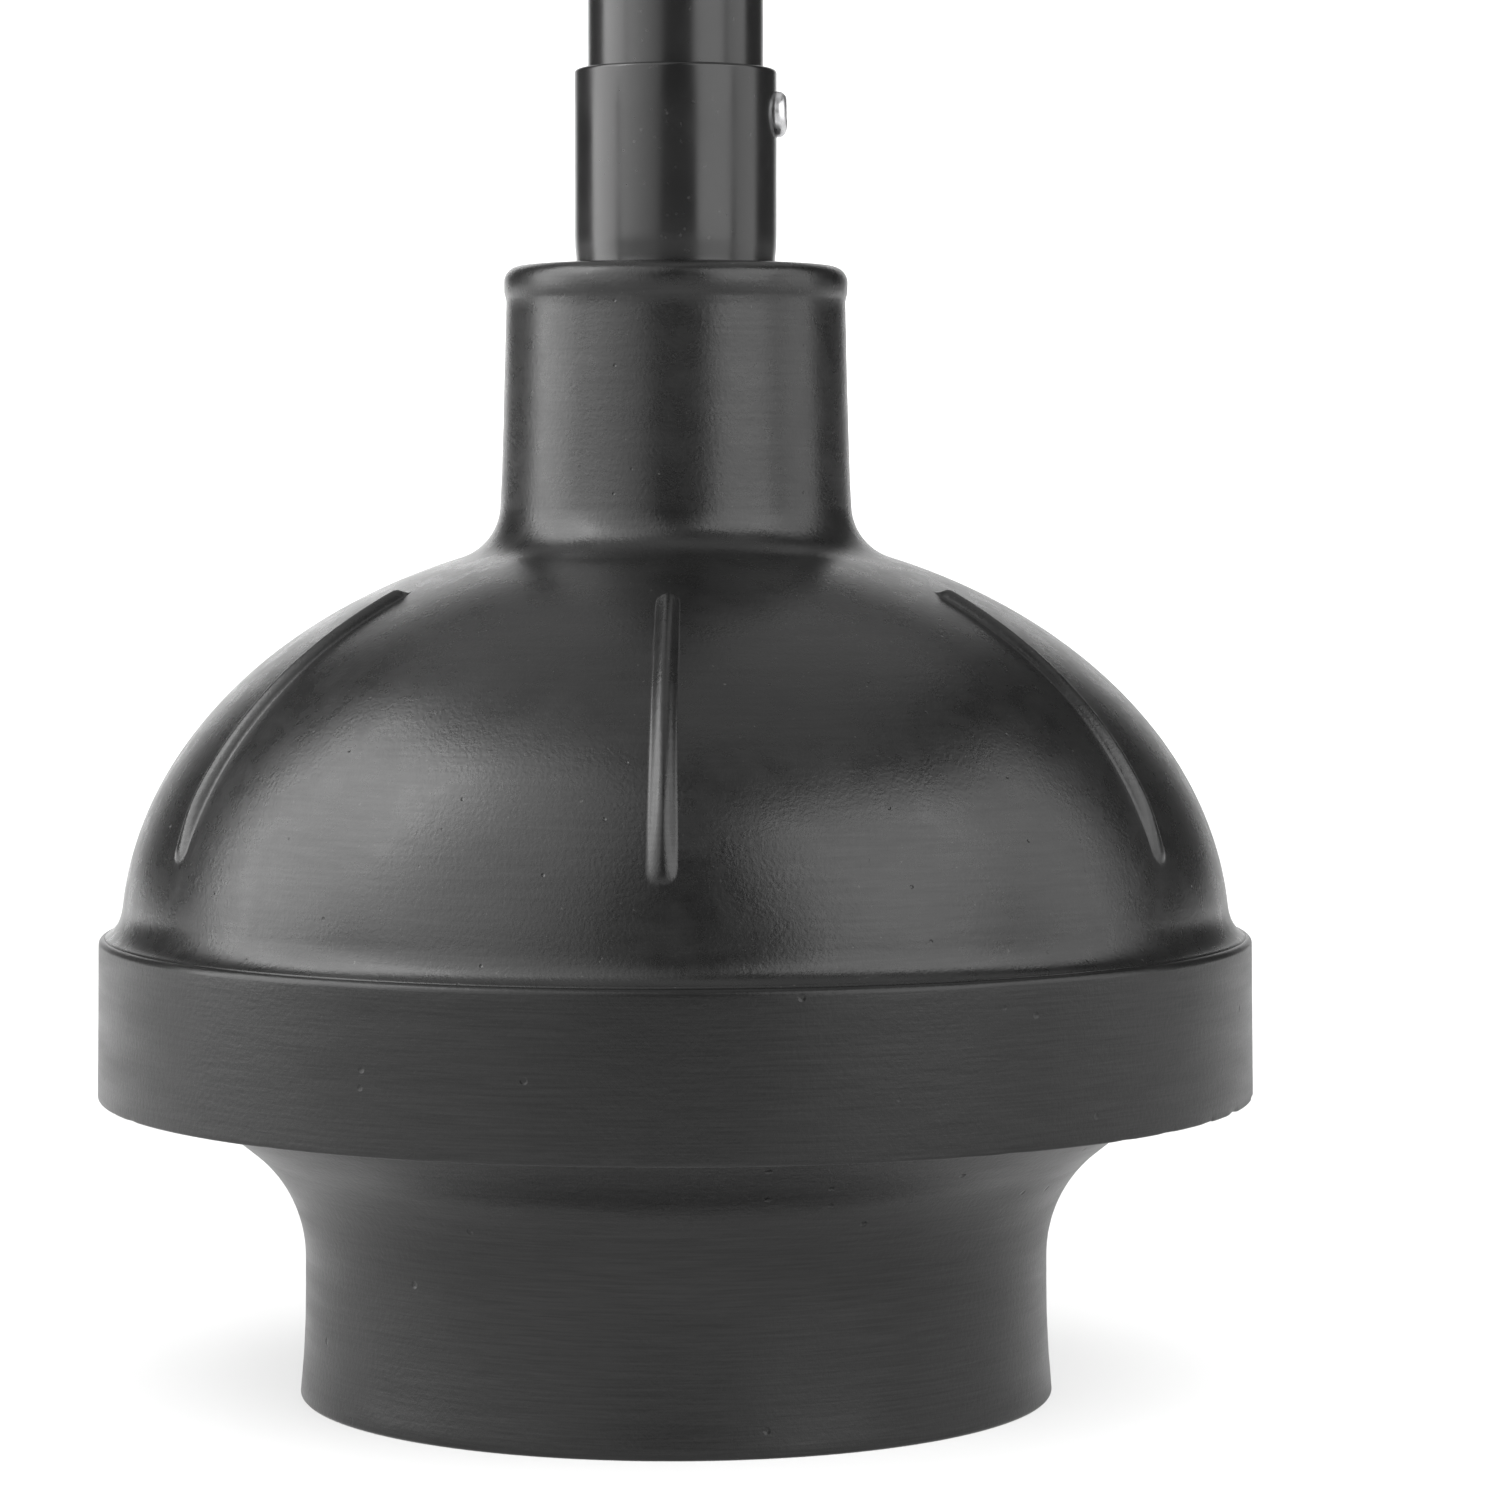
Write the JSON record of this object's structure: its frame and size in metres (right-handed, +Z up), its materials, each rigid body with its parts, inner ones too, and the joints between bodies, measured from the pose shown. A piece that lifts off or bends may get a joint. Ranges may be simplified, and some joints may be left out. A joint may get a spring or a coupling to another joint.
{
  "type": "flanged plunger",
  "caption": "Heavy-duty plunger: black moulded rubber cup with ribbed dome, thick rim and fold-in flange, on a riveted steel tube handle with a grip and a hanging eye.",
  "frame": {"origin": "on the plunger's axis, on the plane that the flange's lip stands on", "axes": "+Z up along the handle; -Y is the front; +X is to the right when looking at the front, on the rivet's side"},
  "size_m": [0.1454, 0.1454, 0.56],
  "materials": {
    "cup_rubber": "satin black moulded rubber with fine pits",
    "flange_rubber": "satin black moulded rubber with fine turning marks of the mould",
    "ferrule_paint": "gloss black paint",
    "tube_paint": "gloss black paint",
    "bung_plastic": "matte black plastic",
    "rivet_aluminium": "satin bare aluminium",
    "rivet_steel": "bare steel, broken end",
    "grip_rubber": "matte soft-touch black rubber",
    "cap_plastic": "fine-textured black plastic"
  },
  "bodies": {
    "cup": {"cup_rim": "cup_rubber", "cup_dome": "cup_rubber", "flange_skirt": "flange_rubber"},
    "neck": {"cup_neck": "cup_rubber", "ferrule": "ferrule_paint", "tube_bung": "bung_plastic", "handle_tube": "tube_paint", "rivet_body": "rivet_aluminium", "rivet_mandrel": "rivet_steel", "grip": "grip_rubber", "hang_cap": "cap_plastic"},
    "lip": {"flange_lip": "flange_rubber"}
  },
  "joints": [
    {"name": "plunge", "type": "slide", "parent": "cup", "child": "neck", "axis": [0, 0, -1], "range_m": [0, 0.028], "stiffness_N_per_m": 4000, "springref_m": -0.004, "deforming": ["cup_dome"]},
    {"name": "flange_fold", "type": "slide", "parent": "cup", "child": "lip", "axis": [0, 0, 1], "range_m": [0, 0.064], "deforming": ["flange_skirt"]}
  ]
}
